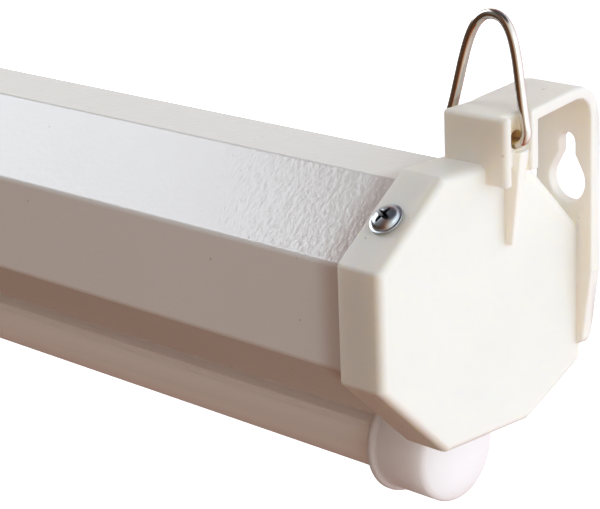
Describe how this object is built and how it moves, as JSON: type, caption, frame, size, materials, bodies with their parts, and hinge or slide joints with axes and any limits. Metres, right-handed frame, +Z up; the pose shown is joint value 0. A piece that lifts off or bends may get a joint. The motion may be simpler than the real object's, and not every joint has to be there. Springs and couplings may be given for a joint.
{
  "type": "pull down projector screen",
  "caption": "Manual wall screen: eight-sided painted casing with moulded bracket caps, wire hanging rings, spring roller with wound fabric, and a weight bar with a pull handle.",
  "frame": {"origin": "on the wall plane, at mid-length, level with the seats of the two fixing screws in the keyholes", "axes": "+X along the casing to the right-hand end as the audience sees it, +Y into the wall, +Z up"},
  "size_m": [1.3808, 0.0732, 0.1578],
  "materials": {
    "casing_paint": "gloss",
    "cap_plastic": "satin",
    "zinc_plate": "satin",
    "ring_wire": "polished",
    "plug_plastic": "satin",
    "roller_steel": "satin",
    "screen_fabric": "matte",
    "nylon": "satin",
    "spring_steel": "satin",
    "bar_paint": "satin",
    "handle_plastic": "satin"
  },
  "bodies": {
    "housing": {"casing": "casing_paint", "end_cap_right": "cap_plastic", "end_cap_left": "cap_plastic", "cap_screw_right_front": "zinc_plate", "cap_screw_right_rear": "zinc_plate", "cap_screw_left_front": "zinc_plate", "cap_screw_left_rear": "zinc_plate", "fabric_drop": "screen_fabric", "idle_bush": "nylon", "spring_spindle": "zinc_plate"},
    "roller": {"roller_tube": "roller_steel", "fabric_roll": "screen_fabric", "idle_plug": "nylon", "idle_pin": "zinc_plate", "ratchet_head": "zinc_plate", "roller_spring": "spring_steel", "spring_anchor": "nylon", "pawl_pin_upper": "zinc_plate", "pawl_pin_lower": "zinc_plate"},
    "upper_pawl": {"pawl_upper": "zinc_plate"},
    "lower_pawl": {"pawl_lower": "zinc_plate"},
    "bar": {"bar_tube": "bar_paint", "hem_rod": "zinc_plate", "bar_plug_right": "plug_plastic", "bar_plug_left": "plug_plastic", "pull_handle": "handle_plastic", "handle_screw_right": "zinc_plate", "handle_screw_left": "zinc_plate"},
    "right_ring": {"hanger_ring_right": "ring_wire"},
    "left_ring": {"hanger_ring_left": "ring_wire"}
  },
  "joints": [
    {"name": "screen_drop", "type": "slide", "parent": "housing", "child": "bar", "axis": [0, 0, -1], "range_m": [0, 1.27], "deforming": ["fabric_drop"]},
    {"name": "roller_spin", "type": "hinge", "parent": "housing", "child": "roller", "pos_m": [0, -0.0459, -0.032], "axis": [-1, 0, 0], "range_deg": [0, 3960.1]},
    {"name": "ring_swing_right", "type": "hinge", "parent": "housing", "child": "right_ring", "pos_m": [0.6775, -0.029, 0.0055], "axis": [1, 0, 0], "range_deg": [0, 30]},
    {"name": "ring_swing_left", "type": "hinge", "parent": "housing", "child": "left_ring", "pos_m": [-0.6775, -0.029, 0.0055], "axis": [1, 0, 0], "range_deg": [0, 30]},
    {"name": "pawl_upper_swing", "type": "hinge", "parent": "roller", "child": "upper_pawl", "pos_m": [-0.6571, -0.05456, -0.027], "axis": [-1, 0, 0], "range_deg": [0, 16]},
    {"name": "pawl_lower_swing", "type": "hinge", "parent": "roller", "child": "lower_pawl", "pos_m": [-0.6571, -0.03724, -0.037], "axis": [-1, 0, 0], "range_deg": [0, 16]}
  ],
  "couplings": [
    {"joint": "roller_spin", "follows": "screen_drop", "rad_per_m": 54.422}
  ]
}
